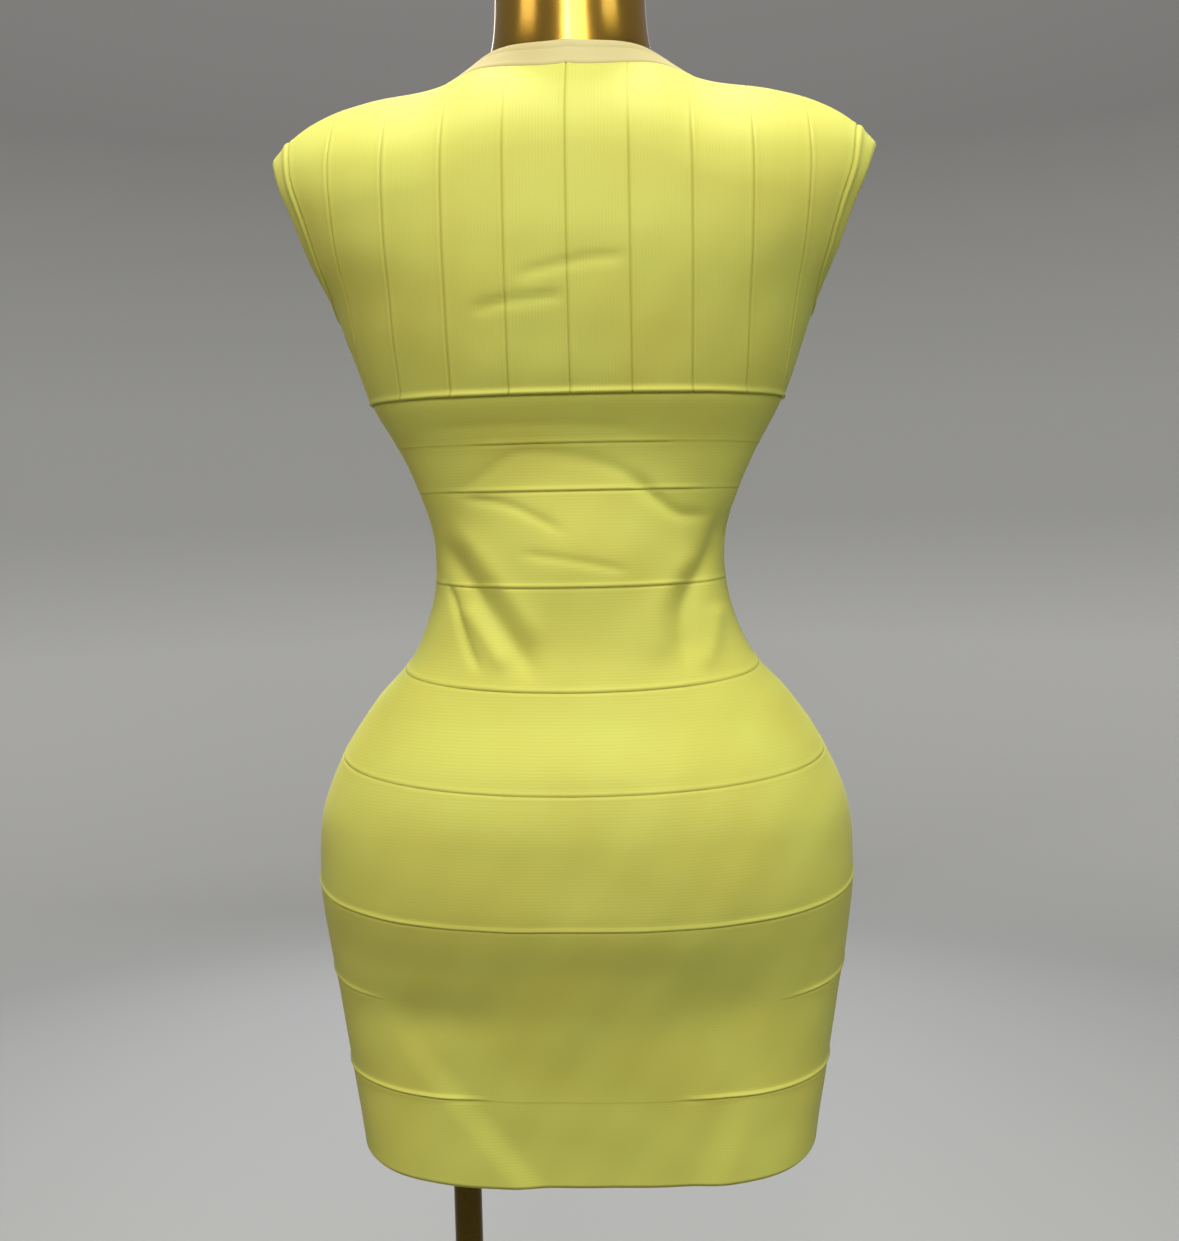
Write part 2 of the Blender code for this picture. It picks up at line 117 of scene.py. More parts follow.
def solveFalling(wanted, falling, low, high):   # where a falling function comes down to each wanted value
    low = np.full(np.shape(wanted), float(low))
    high = np.full(np.shape(wanted), float(high))
    for _ in range(halvings):
        middle = (low + high) / 2
        above = falling(middle) > wanted
        low = np.where(above, middle, low)
        high = np.where(above, high, middle)
    return (low + high) / 2


def shoulderRoll(x, z, inset=0.0):   # the squared share of its depth that the body keeps under the shoulder
    below = (readTable(shoulder, "x", "z", np.abs(x)) - inset - z) / shoulderRollHeight
    return np.where(below > 0, 1 - (1 - np.minimum(below, 1.0)) ** 2, 2 * below)


def faceLevel(points, inset=0.0):   # under 0 inside the dress's outer face, over 0 outside it
    x, y, z = points[..., 0], points[..., 1], points[..., 2]
    square = readTable(sections, "z", "square", z)
    across = np.abs(x) / (readTable(sections, "z", "halfWidth", z) - inset)
    reach = np.where(y < 0, readTable(sections, "z", "back", z), readTable(sections, "z", "front", z))
    roll = shoulderRoll(x, z, inset)
    kept = np.sign(roll) * np.abs(roll) ** (square / 2)
    return kept * (across ** square - 1) + (np.abs(y) / (reach - inset)) ** square


def faceNormals(points):
    rise = np.zeros_like(points)
    for i in range(3):
        move = np.zeros(3)
        move[i] = probe
        rise[..., i] = faceLevel(points + move) - faceLevel(points - move)
    return rise / np.linalg.norm(rise, axis=-1, keepdims=True)


def depthAt(side, x, z):
    square = readTable(sections, "z", "square", z)
    share = np.minimum(np.abs(x) / readTable(sections, "z", "halfWidth", z), 1.0)
    roll = np.maximum(shoulderRoll(x, z), 0.0)
    return readTable(sections, "z", side, z) * (1 - share ** square) ** (1 / square) * np.sqrt(roll)


def onFace(side, x, z):
    sign = -1 if side == "back" else 1
    return np.stack([x, sign * depthAt(side, x, z), z], axis=-1)


def sectionArcs(side, z):   # widths along the section at each height, and the arc from the middle to each
    turn = np.linspace(0, math.pi / 2, arcSteps + 1)
    power = 2 / readTable(sections, "z", "square", z)[..., None]
    x = readTable(sections, "z", "halfWidth", z)[..., None] * np.sin(turn) ** power
    y = readTable(sections, "z", side, z)[..., None] * np.maximum(np.cos(turn), 0) ** power
    steps = np.hypot(np.diff(x, axis=-1), np.diff(y, axis=-1))
    arcs = np.concatenate([np.zeros_like(x[..., :1]), np.cumsum(steps, axis=-1)], axis=-1)
    return x, arcs


def between(keys, levels, values):   # each value's level in its own row of keys
    i = np.clip((keys <= values[..., None]).sum(axis=-1) - 1, 0, arcSteps - 1)[..., None]
    low, high = np.take_along_axis(keys, i, -1)[..., 0], np.take_along_axis(keys, i + 1, -1)[..., 0]
    first, last = np.take_along_axis(levels, i, -1)[..., 0], np.take_along_axis(levels, i + 1, -1)[..., 0]
    return first + (last - first) * np.clip((values - low) / (high - low), 0, 1)


# folds and drag lines on the back or the front: a path of widths and heights runs along each one, and rise is
# below 0 for a trough and above 0 for a ridge
folds = {
    "back": [
        {"path": [(-0.040, 1.2995), (-0.001, 1.3080), (0.024, 1.3112), (0.046, 1.3116)],
         "rise": -0.0013, "width": 0.0042},
        {"path": [(-0.070, 1.2780), (-0.046, 1.2838), (-0.022, 1.2858), (0.002, 1.2880)],
         "rise": -0.0015, "width": 0.0042},
        {"path": [(-0.120, 1.2000), (-0.070, 1.2020), (0.000, 1.2010), (0.062, 1.1970)],
         "rise": -0.0008, "width": 0.0045},
        {"path": [(-0.104, 1.1500), (-0.076, 1.1620), (-0.054, 1.1770), (-0.034, 1.1835), (-0.014, 1.1825),
                  (0.019, 1.1765), (0.046, 1.1635), (0.060, 1.1490), (0.074, 1.1385), (0.098, 1.1375)],
         "rise": -0.0021, "width": 0.0060},
        {"path": [(0.036, 1.1680), (0.058, 1.1510), (0.076, 1.1395), (0.102, 1.1375)],
         "rise": -0.0018, "width": 0.0055},
        {"path": [(-0.088, 1.1540), (-0.048, 1.1480), (-0.025, 1.1378), (-0.002, 1.1245)],
         "rise": -0.0016, "width": 0.0038},
        {"path": [(-0.042, 1.1142), (-0.010, 1.1095), (0.016, 1.1048), (0.042, 1.0988)],
         "rise": -0.0013, "width": 0.0034},
        {"path": [(-0.106, 1.1290), (-0.088, 1.1085), (-0.070, 1.0860), (-0.053, 1.0612), (-0.032, 1.0332),
                  (-0.024, 1.0190)], "rise": -0.0043, "width": 0.0115},
        {"path": [(-0.092, 1.1400), (-0.073, 1.1200), (-0.055, 1.0976), (-0.038, 1.0727), (-0.018, 1.0446)],
         "rise": 0.0022, "width": 0.0120},
        {"path": [(-0.096, 1.0960), (-0.085, 1.0674), (-0.077, 1.0458), (-0.066, 1.0270)],
         "rise": -0.0030, "width": 0.0034},
        {"path": [(-0.082, 1.0800), (-0.066, 1.0560), (-0.048, 1.0300)], "rise": 0.0026, "width": 0.0085},
        {"path": [(0.108, 1.1520), (0.104, 1.1260), (0.093, 1.1030), (0.081, 1.0860), (0.076, 1.0640),
                  (0.079, 1.0220)], "rise": -0.0046, "width": 0.0110},
        {"path": [(0.086, 1.1180), (0.070, 1.0960), (0.058, 1.0700), (0.058, 1.0300)], "rise": 0.0018,
         "width": 0.0120},
        {"path": [(0.102, 1.0760), (0.098, 1.0500), (0.090, 1.0270)], "rise": 0.0020, "width": 0.0090},
    ],
    "front": [
        {"path": [(-0.060, 1.2900), (-0.020, 1.2960), (0.030, 1.2940)], "rise": -0.0012, "width": 0.0042},
        {"path": [(0.020, 1.2620), (0.055, 1.2680), (0.085, 1.2690)], "rise": -0.0011, "width": 0.0040},
        {"path": [(-0.100, 1.2010), (-0.040, 1.1990), (0.050, 1.2020)], "rise": -0.0008, "width": 0.0045},
        {"path": [(0.094, 1.1500), (0.060, 1.1440), (0.022, 1.1300)], "rise": -0.0018, "width": 0.0042},
        {"path": [(-0.092, 1.1360), (-0.050, 1.1250), (-0.010, 1.1210)], "rise": -0.0015, "width": 0.0038},
        {"path": [(0.050, 1.1080), (0.010, 1.1020), (-0.035, 1.1040)], "rise": -0.0012, "width": 0.0036},
        {"path": [(0.096, 1.1200), (0.076, 1.0850), (0.052, 1.0500), (0.040, 1.0200)],
         "rise": -0.0034, "width": 0.0100},
        {"path": [(-0.097, 1.1100), (-0.084, 1.0800), (-0.078, 1.0400)], "rise": -0.0030, "width": 0.0090},
        {"path": [(-0.088, 1.0700), (-0.080, 1.0450), (-0.066, 1.0220)], "rise": -0.0018, "width": 0.0036},
        {"path": [(-0.150, 0.8200), (-0.090, 0.8080), (-0.030, 0.8120)], "rise": -0.0012, "width": 0.0100},
        {"path": [(0.140, 0.8040), (0.090, 0.7960), (0.040, 0.8020)], "rise": -0.0010, "width": 0.0090},
    ],
}

# wide soft places, each with its reach across and up
hollows = {
    "back": [
        {"x": -0.106, "z": 0.786, "across": 0.050, "up": 0.020, "rise": -0.0038},
        {"x": 0.092, "z": 0.790, "across": 0.044, "up": 0.026, "rise": -0.0034},
        {"x": 0.000, "z": 0.848, "across": 0.130, "up": 0.026, "rise": 0.0022},
        {"x": 0.000, "z": 1.199, "across": 0.085, "up": 0.027, "rise": -0.0025},
        {"x": 0.005, "z": 1.110, "across": 0.066, "up": 0.034, "rise": 0.0042},
        {"x": 0.000, "z": 0.905, "across": 0.030, "up": 0.060, "rise": -0.0020},
        {"x": -0.010, "z": 1.055, "across": 0.034, "up": 0.024, "rise": -0.0012},
        {"x": 0.085, "z": 1.250, "across": 0.030, "up": 0.030, "rise": -0.0012},
        {"x": -0.100, "z": 1.240, "across": 0.024, "up": 0.022, "rise": -0.0014},
    ],
    "front": [
        {"x": 0.000, "z": 1.285, "across": 0.026, "up": 0.050, "rise": -0.0032},
        {"x": -0.060, "z": 0.760, "across": 0.050, "up": 0.050, "rise": -0.0024},
        {"x": 0.070, "z": 0.740, "across": 0.050, "up": 0.050, "rise": -0.0020},
    ],
}

# the skirt lies a little flatter between two slanting lines that run down to the hem
skirtPlane = {
    "back": {"left": [(-0.1500, 0.800), (-0.0380, 0.660)], "right": [(0.1340, 0.800), (0.0880, 0.660)],
             "top": 0.830, "rise": -0.0036, "soft": 0.030},
    "front": {"left": [(-0.0900, 0.800), (-0.0700, 0.660)], "right": [(0.1400, 0.800), (0.0500, 0.660)],
              "top": 0.800, "rise": -0.0030, "soft": 0.040},
}
foldEnds = 0.22         # share of a fold's length over which it fades in and out
foldSteps = 28
# soft unevenness of the taut cloth: two waves that cross and one aslant, each by its turns across and up, and
# all gone over the shoulders
unevenness = {"rise": 0.00022, "first": (61, 37), "second": (-29, 83),
              "aslant": (140, -95), "aslantFrom": 1.3, "aslantShare": 0.6, "endsAt": 1.40, "fade": 0.10}


def smoothStep(t):
    t = np.clip(t, 0, 1)
    return t * t * (3 - 2 * t)


def smoothPath(path):   # a smooth line of points through a fold's own few
    lengths = np.hypot(*np.diff(np.array(path), axis=0).T)
    along = np.concatenate([[0], np.cumsum(lengths)]) / lengths.sum()
    rows = [{"t": t, "x": x, "z": z} for t, (x, z) in zip(along, path)]
    t = np.linspace(0, 1, foldSteps + 1)
    return np.stack([readTable(rows, "t", "x", t), readTable(rows, "t", "z", t)], axis=-1)


def foldHeight(fold, x, z):
    path = smoothPath(fold["path"])
    nearest = np.full(x.shape, 1.0)
    along = np.zeros(x.shape)
    for k, (start, end) in enumerate(zip(path, path[1:])):
        run = end - start
        t = np.clip(((x - start[0]) * run[0] + (z - start[1]) * run[1]) / (run @ run), 0, 1)
        gap = np.hypot(x - start[0] - t * run[0], z - start[1] - t * run[1])
        closer = gap < nearest
        nearest = np.where(closer, gap, nearest)
        along = np.where(closer, (k + t) / foldSteps, along)
    fade = smoothStep(along / foldEnds) * smoothStep((1 - along) / foldEnds)
    return fold["rise"] * fade / (1 + (nearest / fold["width"]) ** 2) ** 2


def planeHeight(plane, x, z):
    inside = np.ones(x.shape)
    for name, sign in (("left", 1), ("right", -1)):
        (highX, highZ), (lowX, lowZ) = plane[name]
        edge = highX + (lowX - highX) * (highZ - z) / (highZ - lowZ)
        inside = inside * smoothStep(sign * (x - edge) / plane["soft"] + 0.5)
    down = smoothStep((plane["top"] - z) / (plane["top"] - sections[0]["z"]))
    return plane["rise"] * inside * down


def drapeHeight(side, x, z):   # how far folds and soft unevenness move the cloth out
    height = sum(foldHeight(fold, x, z) for fold in folds[side])
    for hollow in hollows[side]:
        away = ((x - hollow["x"]) / hollow["across"]) ** 2 + ((z - hollow["z"]) / hollow["up"]) ** 2
        height = height + hollow["rise"] * np.exp(-away)
    height = height + planeHeight(skirtPlane[side], x, z)
    first, second, aslant = (across * x + up * z for across, up in (
        unevenness["first"], unevenness["second"], unevenness["aslant"]))
    wave = np.sin(first) * np.sin(second)
    wave = wave + unevenness["aslantShare"] * np.sin(aslant + unevenness["aslantFrom"])
    return height + unevenness["rise"] * wave * smoothStep((unevenness["endsAt"] - z) / unevenness["fade"])


# rise and fall beside a seam: the cloth dips into the stitching and stands up a little beside it; shade is
# how deep the painted shade in the seam's groove is, and shadeWidth how far it reaches
stitching = {"dip": 0.0006, "dipWidth": 0.0007, "ridge": 0.0003, "ridgeAt": 0.0022, "ridgeWidth": 0.0012,
             "shade": 0.34, "shadeWidth": 0.0008}

# seams between the horizontal bands: height at the centre line, rise at the side seams and the power by which
# it bends; lip is how far the upper piece's edge stands over the lower one; middle and side are how strongly
# the seam shows, and it changes from one to the other outside the share "turns" of the arc
bandSeams = [
    {"z": 1.2226, "rise": 0.000, "bend": 2,
     "lip": 0.0017, "lipWidth": 0.0020, "middle": 1.0, "side": 0.9, "turns": 0.5},
    {"z": 1.1895, "rise": 0.000, "bend": 2,
     "lip": 0.0007, "lipWidth": 0.0014, "middle": 0.8, "side": 0.2, "turns": 0.3},
    {"z": 1.1570, "rise": 0.000, "bend": 2,
     "lip": 0.0006, "lipWidth": 0.0014, "middle": 1.0, "side": 0.4, "turns": 0.5},
    {"z": 1.0894, "rise": 0.002, "bend": 2,
     "lip": 0.0006, "lipWidth": 0.0014, "middle": 1.0, "side": 0.6, "turns": 0.5},
    {"z": 1.0175, "rise": 0.012, "bend": 2,
     "lip": 0.0005, "lipWidth": 0.0014, "middle": 1.0, "side": 0.7, "turns": 0.4},
    {"z": 0.9515, "rise": 0.015, "bend": 2,
     "lip": 0.0003, "lipWidth": 0.0013, "middle": 0.9, "side": 0.8, "turns": 0.4},
    {"z": 0.8580, "rise": 0.017, "bend": 4,
     "lip": 0.0008, "lipWidth": 0.0015, "middle": 0.7, "side": 1.0, "turns": 0.3},
    {"z": 0.7930, "rise": 0.011, "bend": 4,
     "lip": 0.0009, "lipWidth": 0.0014, "middle": 0.0, "side": 1.0, "turns": 0.55},
    {"z": 0.7260, "rise": 0.004, "bend": 4,
     "lip": 0.0011, "lipWidth": 0.0014, "middle": 0.0, "side": 1.0, "turns": 0.25},
    {"z": 0.6600, "rise": 0.012, "bend": 3,
     "lip": 0.0000, "lipWidth": 0.0016, "middle": 1.0, "side": 1.0, "turns": 0.5},
]
seamTurn = 0.16         # share of the arc over which a seam comes and goes
# a lip is highest a little in from its edge, and the cloth it laps over dips to make room for it
lap = {"peak": 0.8, "tuck": 0.6, "tuckWidth": 1.6}


def seamHeight(distance):   # the cloth beside a plain seam
    dip = stitching["dip"] * np.exp(-(distance / stitching["dipWidth"]) ** 2)
    ridge = stitching["ridge"] * np.exp(-((distance - stitching["ridgeAt"]) / stitching["ridgeWidth"]) ** 2)
    return ridge - dip


def paintedSeamShade(distance):   # painted shade: the colour is a little deeper along a seam, where its groove lies in shade
    return stitching["shade"] * np.exp(-(distance / stitching["shadeWidth"]) ** 2)


def seamShows(share, seam):
    toSide = smoothStep((np.abs(share) - seam["turns"]) / seamTurn)
    return seam["middle"] + (seam["side"] - seam["middle"]) * toSide


def lipHeight(distance, seam):   # the edge that laps over the piece below
    return seam["lip"] * np.exp(-((distance - lap["peak"] * seam["lipWidth"]) / seam["lipWidth"]) ** 2)


def tuckHeight(distance, seam):   # the edge that goes under the lip
    return -lap["tuck"] * seam["lip"] * np.exp(-(distance / (lap["tuckWidth"] * seam["lipWidth"])) ** 2)


def toLinear(hexColour):   # an sRGB hex value as linear red, green and blue, with alpha
    channels = [int(hexColour[k:k + 2], 16) / 255 for k in (1, 3, 5)]
    return tuple(c / 12.92 if c <= 0.04045 else ((c + 0.055) / 1.055) ** 2.4 for c in channels) + (1.0,)


def addNode(tree, kind, settings=None, **links):   # a node with its settings; links name its inputs
    node = tree.nodes.new(kind)
    for name, value in (settings or {}).items():
        if hasattr(node, name):
            setattr(node, name, value)
        else:
            node.inputs[name].default_value = value
    for name, socket in links.items():
        tree.links.new(socket, node.inputs[name.replace("_", " ")])
    return node


def newMaterial(name, **shader):
    made = bpy.data.materials.new(name)
    made.use_nodes = True
    surface = made.node_tree.nodes["Principled BSDF"]
    for socket, value in shader.items():
        surface.inputs[socket.replace("_", " ")].default_value = value
    return made, made.node_tree, surface


def fillRamp(node, stops):
    ramp = node.color_ramp
    while len(ramp.elements) < len(stops):
        ramp.elements.new(0.5)
    for element, (place, colour) in zip(ramp.elements, stops):
        element.position = place
        element.color = colour
    return node


# Bandage knit of rayon, nylon and elastane: dense and smooth, with fine ribs along each band. Taut and close,
# it has a low satin sheen and its colour drifts a little where it is stretched.
bandageKnit = {
    "ribSpacing": 2.2,      # mm between ribs; real ones are nearer 1.1 mm, so these are coarser, to show
    "stitchSpacing": 1.5,   # mm along a rib
    "ribDepth": 0.00006,
    "fuzzSize": 0.9,        # mm
    "driftSize": 70,        # mm
    "drift": (0.35, 0.65),  # of the noise, from the deeper colour to the lighter
    "ribShade": 0.03,
    "stitchRelief": 0.35,   # beside a rib's
    "fuzzRelief": 0.6,
    "bump": 0.35,
    "roughness": 0.62,
    "sheen": 0.10,
    "sheenRoughness": 0.4,
    "specular": 0.30,
}
wavesPerUnit = math.tau / 20    # a wave texture's scale for one wave in a metre


def makeKnit(name, light, deep, seamShadeColour):
    knitted = bandageKnit
    made, tree, surface = newMaterial(
        name, Roughness=knitted["roughness"], Sheen_Weight=knitted["sheen"],
        Sheen_Roughness=knitted["sheenRoughness"], Specular_IOR_Level=knitted["specular"])
    place = addNode(tree, "ShaderNodeTexCoord")
    uv = addNode(tree, "ShaderNodeUVMap", {"uv_map": "knitMap"})
    drift = addNode(tree, "ShaderNodeTexNoise", {
        "Scale": 1000 / knitted["driftSize"], "Detail": 2.0, "Roughness": 0.5},
        Vector=place.outputs["Object"])
    fuzz = addNode(tree, "ShaderNodeTexNoise", {
        "Scale": 1000 / knitted["fuzzSize"], "Detail": 3.0, "Roughness": 0.6}, Vector=place.outputs["Object"])
    # the map is in metres, with V across the ribs
    ribs = addNode(tree, "ShaderNodeTexWave", {
        "bands_direction": "Y", "wave_profile": "SIN", "Distortion": 0.35, "Detail": 1.0, "Detail Scale": 2.0,
        "Scale": 1000 / knitted["ribSpacing"] * wavesPerUnit}, Vector=uv.outputs["UV"])
    stitches = addNode(tree, "ShaderNodeTexWave", {
        "bands_direction": "X", "wave_profile": "SIN", "Distortion": 1.2, "Detail": 1.0, "Detail Scale": 3.0,
        "Scale": 1000 / knitted["stitchSpacing"] * wavesPerUnit}, Vector=uv.outputs["UV"])
    low, high = knitted["drift"]
    colour = fillRamp(addNode(tree, "ShaderNodeValToRGB", Fac=drift.outputs["Fac"]),
                      [(low, deep), (high, light)])
    # painted shade: the colour is a little deeper in each rib's groove
    ribShade = addNode(tree, "ShaderNodeMix", {"data_type": "RGBA", "blend_type": "MULTIPLY"})
    ribShade.inputs[0].default_value = knitted["ribShade"]
    tree.links.new(colour.outputs["Color"], ribShade.inputs[6])
    tree.links.new(ribs.outputs["Color"], ribShade.inputs[7])
    # painted shade along the seams: a per-point attribute mixes in a deeper colour
    edge = addNode(tree, "ShaderNodeAttribute", {"attribute_name": "paintedSeamShade"})
    seamShadeMix = addNode(tree, "ShaderNodeMix", {"data_type": "RGBA"})
    tree.links.new(edge.outputs["Fac"], seamShadeMix.inputs[0])
    tree.links.new(ribShade.outputs[2], seamShadeMix.inputs[6])
    seamShadeMix.inputs[7].default_value = seamShadeColour
    tree.links.new(seamShadeMix.outputs[2], surface.inputs["Base Color"])
    weave = addNode(tree, "ShaderNodeMath", {"operation": "MULTIPLY_ADD"})
    tree.links.new(stitches.outputs["Fac"], weave.inputs[0])
    weave.inputs[1].default_value = knitted["stitchRelief"]
    tree.links.new(ribs.outputs["Fac"], weave.inputs[2])
    relief = addNode(tree, "ShaderNodeMath", {"operation": "MULTIPLY_ADD"})
    tree.links.new(fuzz.outputs["Fac"], relief.inputs[0])
    relief.inputs[1].default_value = knitted["fuzzRelief"]
    tree.links.new(weave.outputs[0], relief.inputs[2])
    bump = addNode(tree, "ShaderNodeBump", {"Strength": knitted["bump"], "Distance": knitted["ribDepth"]},
                   Height=relief.outputs[0])
    tree.links.new(bump.outputs["Normal"], surface.inputs["Normal"])
    return made


# the third colour of each knit is its painted seam shade
limeKnit = makeKnit("limeBandageKnit", toLinear("#e6e872"), toLinear("#e5e26c"), toLinear("#a39838"))
creamKnit = makeKnit("creamBandageKnit", toLinear("#dfd39c"), toLinear("#d8ca90"), toLinear("#a0935a"))


# polished gold lacquer on a moulded shell: mirror-like, under a clear coat with a trace of orange peel; the
# tone drifts over about 80 mm and the peel's spots are about 4 mm
lacquer = {"roughness": 0.22, "coat": 0.35, "coatRoughness": 0.05, "toneScale": 12.0, "peelScale": 260.0,
           "peelDepth": 0.00006, "bump": 0.25,
           "tones": [(0.3, toLinear("#cb9d3c")), (0.7, toLinear("#d4a746"))]}


def makeGoldLacquer():
    made, tree, surface = newMaterial(
        "goldLacquer", Metallic=1.0, Roughness=lacquer["roughness"], Coat_Weight=lacquer["coat"],
        Coat_Roughness=lacquer["coatRoughness"])
    place = addNode(tree, "ShaderNodeTexCoord")
    tone = addNode(tree, "ShaderNodeTexNoise", {"Scale": lacquer["toneScale"], "Detail": 2.0},
                   Vector=place.outputs["Object"])
    ramp = fillRamp(addNode(tree, "ShaderNodeValToRGB", Fac=tone.outputs["Fac"]), lacquer["tones"])
    tree.links.new(ramp.outputs["Color"], surface.inputs["Base Color"])
    peel = addNode(tree, "ShaderNodeTexNoise", {"Scale": lacquer["peelScale"], "Detail": 1.0},
                   Vector=place.outputs["Object"])
    bump = addNode(tree, "ShaderNodeBump", {"Strength": lacquer["bump"], "Distance": lacquer["peelDepth"]},
                   Height=peel.outputs["Fac"])
    tree.links.new(bump.outputs["Normal"], surface.inputs["Normal"])
    return made


# bronze-gold plating on brushed steel tube: satin, with fine lines round the turned parts, about 1 mm apart
# up the pole and 3 mm long
plating = {"roughness": 0.26, "lineScale": (300.0, 300.0, 900.0), "lineDepth": 0.00004, "bump": 0.08,
           "tones": [(0.3, toLinear("#4a3b16")), (0.7, toLinear("#54441c"))]}


def makeStandMetal():
    made, tree, surface = newMaterial("bronzePlatedSteel", Metallic=1.0, Roughness=plating["roughness"])
    place = addNode(tree, "ShaderNodeTexCoord")
    stretched = addNode(tree, "ShaderNodeMapping", {"Scale": plating["lineScale"]},
                        Vector=place.outputs["Object"])
    lines = addNode(tree, "ShaderNodeTexNoise", {"Scale": 1.0, "Detail": 2.0},
                    Vector=stretched.outputs["Vector"])
    ramp = fillRamp(addNode(tree, "ShaderNodeValToRGB", Fac=lines.outputs["Fac"]), plating["tones"])
    tree.links.new(ramp.outputs["Color"], surface.inputs["Base Color"])
    bump = addNode(tree, "ShaderNodeBump", {"Strength": plating["bump"], "Distance": plating["lineDepth"]},
                   Height=lines.outputs["Fac"])
    tree.links.new(bump.outputs["Normal"], surface.inputs["Normal"])
    return made


goldLacquer = makeGoldLacquer()
standMetal = makeStandMetal()
print("materials made")


def netStops(length, spacing=knit["spacing"]):   # shares across a piece, closer together beside its seams
    near = [distance for distance in knit["beside"] if distance < knit["besideUpTo"] * length]
    inner = length - 2 * near[-1]
    count = max(1, round(inner / spacing))
    middle = [near[-1] + inner * k / count for k in range(1, count)]
    return np.array(near + middle + [length - distance for distance in reversed(near)]) / length


def inwardGap(net, wrap=False):   # moves a net's border in by half a seam
    def toward(points, others):
        way = others - points
        return points + way / np.maximum(np.linalg.norm(way, axis=-1, keepdims=True), tiny) * knit["seam"] / 2

    moved = net.copy()
    if not wrap:
        moved[:, 0], moved[:, -1] = toward(net[:, 0], net[:, 1]), toward(net[:, -1], net[:, -2])
    moved[0], moved[-1] = toward(moved[0], moved[1]), toward(moved[-1], moved[-2])
    return moved


def shell(name, net, outward, height, shade, grain, made, wrap=False):
    # net is on the dress's plain face, outward is that face's direction, and height is how far the cloth
    # stands out from it; shade is the painted shade along the seams, and grain is the knit's own map in
    # metres
    rows, columns = net.shape[0] - 1, net.shape[1] - 1
    outer = net + outward * height[..., None]
    inner = outer - outward * knit["wall"]
    mesh = bmesh.new()
    inside = mesh.verts.layers.float_vector.new("inside")
    shading = mesh.verts.layers.float.new("paintedSeamShade")
    bmesh.ops.create_grid(mesh, x_segments=columns, y_segments=rows, size=0.5)
    knitMap = mesh.loops.layers.uv.new("knitMap")
    for corner in mesh.verts:
        column = round((corner.co.x + 0.5) * columns)
        row = round((corner.co.y + 0.5) * rows)
        corner.co = outer[row, column]
        corner[inside] = inner[row, column]
        corner[shading] = shade[row, column]
        for loop in corner.link_loops:
            loop[knitMap].uv = grain[row, column]
    if wrap:
        bmesh.ops.remove_doubles(mesh, verts=mesh.verts, dist=tiny)
    walls = bmesh.ops.extrude_face_region(mesh, geom=mesh.faces[:])
    for corner in walls["geom"]:
        if isinstance(corner, bmesh.types.BMVert):
            corner.co = corner[inside]
    mesh.verts.layers.float_vector.remove(inside)
    bmesh.ops.recalc_face_normals(mesh, faces=mesh.faces)
    return finishMesh(mesh, name, made)


def finishMesh(mesh, name, made, sharp=math.radians(50)):
    data = bpy.data.meshes.new(name)
    mesh.to_mesh(data)
    mesh.free()
    data.materials.append(made)
    data.shade_smooth()
    data.set_sharp_from_angle(angle=sharp)
    piece = bpy.data.objects.new(name, data)
    bpy.context.scene.collection.objects.link(piece)
    return piece


def declareCloth(piece, node):
    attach(piece, "root")
    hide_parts(node)


bodice = {
    "strips": 5,            # from the centre line to the side, on the back and on the front
    "stripWidth": 0.0425,   # the outermost takes what is left
    "levelTop": 1.385,      # above this height the seams run straight up
    "rows": 86,
    "rowPower": 1.5,        # above 1 crowds the rows together at the shoulder
    "lineSpacing": 0.0024,
    "rowClear": 0.0015,     # of the seam's own rows
    "cornerClear": 0.0008,  # of the lines beside the corner of the neck
    "edgeSeam": 0.3, "edgePaintedShade": 0.6,  # how much of a plain seam and of its painted shade shows along the bodice's lower edge
    "besideCorner": [0.0005, 0.0012, 0.0022],   # extra lines beside the corner of the neck
    "fade": 0.8, "fadeFrom": 1.385, "fadeOver": 0.035,  # how the seams flatten out over the shoulder
}
armhole = {"z": 1.3500, "halfHeight": 0.0540, "halfDepth": 0.044, "binding": 0.014, "columns": 160,
           "lineSpacing": 0.0012, "piping": 0.0011, "pipingWidth": 0.0020, "seam": 0.5,
           "roll": 0.0010, "rollWidth": 0.0013}
neckline = {"halfWidth": 0.093, "back": 0.0600, "front": 0.090}


def armholePoints(turn, out):   # round the armhole: 0 at the underarm, -1 and 1 at the shoulder
    angle = math.pi * turn
    y = np.sin(angle) * (armhole["halfDepth"] + out)
    z = armhole["z"] - np.cos(angle) * (armhole["halfHeight"] + out)
    back = solveFalling(np.abs(y), lambda x: depthAt("back", x, z), 0.0, shoulder[-1]["x"])
    front = solveFalling(np.abs(y), lambda x: depthAt("front", x, z), 0.0, shoulder[-1]["x"])
    return np.stack([np.where(y < 0, back, front), y, z], axis=-1)


def bodiceEdge(side, z):   # the outer edge of the outermost strip: up the side seam, then round the binding
    under = armhole["z"] - armhole["halfHeight"] - armhole["binding"]
    lift = np.clip((armhole["z"] - z) / (armhole["halfHeight"] + armhole["binding"]), -1, 1)
    turn = np.arccos(lift) / math.pi * (-1 if side == "back" else 1)
    ring = armholePoints(turn, armhole["binding"])
    seam = np.stack([readTable(sections, "z", "halfWidth", z), np.zeros_like(z), z], axis=-1)
    return np.where((z > under)[..., None], ring, seam)


def neckPoints(side, x):   # the neck seam, where the body passes through an upright oval
    y = neckline[side] * np.sqrt(np.maximum(1 - (x / neckline["halfWidth"]) ** 2, 0.0))
    z = solveFalling(y, lambda height: depthAt(side, x, height) - tiny, shoulder[-1]["z"], shoulder[0]["z"])
    return np.stack([x, y * (-1 if side == "back" else 1), z], axis=-1)


def widthAtArc(side, z, arc):
    x, arcs = sectionArcs(side, np.minimum(z, bodice["levelTop"]))
    return between(arcs, x, arc)


def arcAtWidth(side, z, x):
    widths, arcs = sectionArcs(side, np.minimum(z, bodice["levelTop"]))
    return between(widths, arcs, x)


